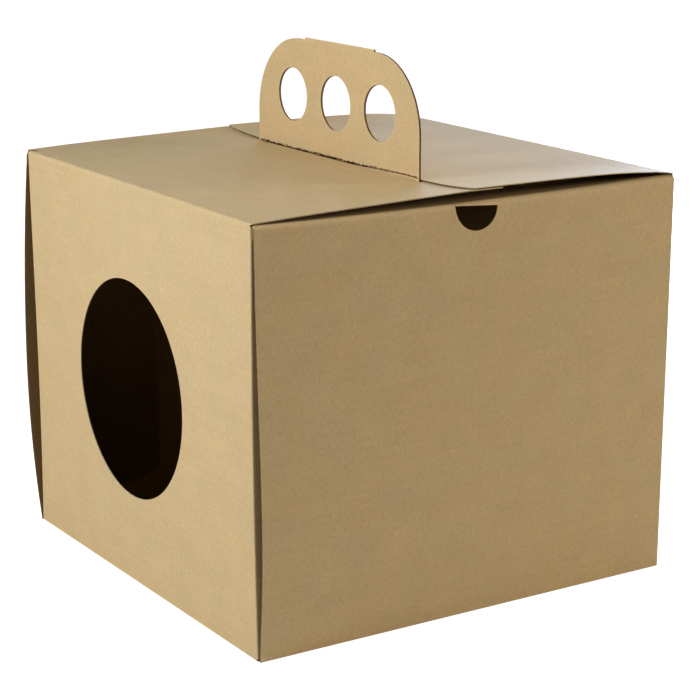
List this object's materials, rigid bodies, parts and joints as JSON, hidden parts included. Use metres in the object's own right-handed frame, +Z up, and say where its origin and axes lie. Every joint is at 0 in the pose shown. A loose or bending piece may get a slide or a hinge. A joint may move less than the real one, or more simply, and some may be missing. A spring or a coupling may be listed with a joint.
{
  "type": "handled kraft board carrier box",
  "caption": "Square kraft board carrier box with a raised grip with finger holes, a round window and hinged end panels with thumb notches.",
  "frame": {"origin": "middle of the base, on the surface that it stands on", "axes": "+Z up, -X out through the wall with the round window, -Y out through the front end panel, grip along Y"},
  "size_m": [0.232, 0.2477, 0.2588],
  "materials": {
    "kraft_board": "matte"
  },
  "bodies": {
    "carton": {"carton_body": "kraft_board"},
    "front_panel": {"front_end_panel": "kraft_board"},
    "back_panel": {"back_end_panel": "kraft_board"}
  },
  "joints": [
    {"name": "front_panel_hinge", "type": "hinge", "parent": "carton", "child": "front_panel", "pos_m": [0, -0.11575, 0.00025], "axis": [1, 0, 0], "range_deg": [0, 83]},
    {"name": "back_panel_hinge", "type": "hinge", "parent": "carton", "child": "back_panel", "pos_m": [0, 0.11575, 0.00025], "axis": [-1, 0, 0], "range_deg": [0, 73]}
  ]
}
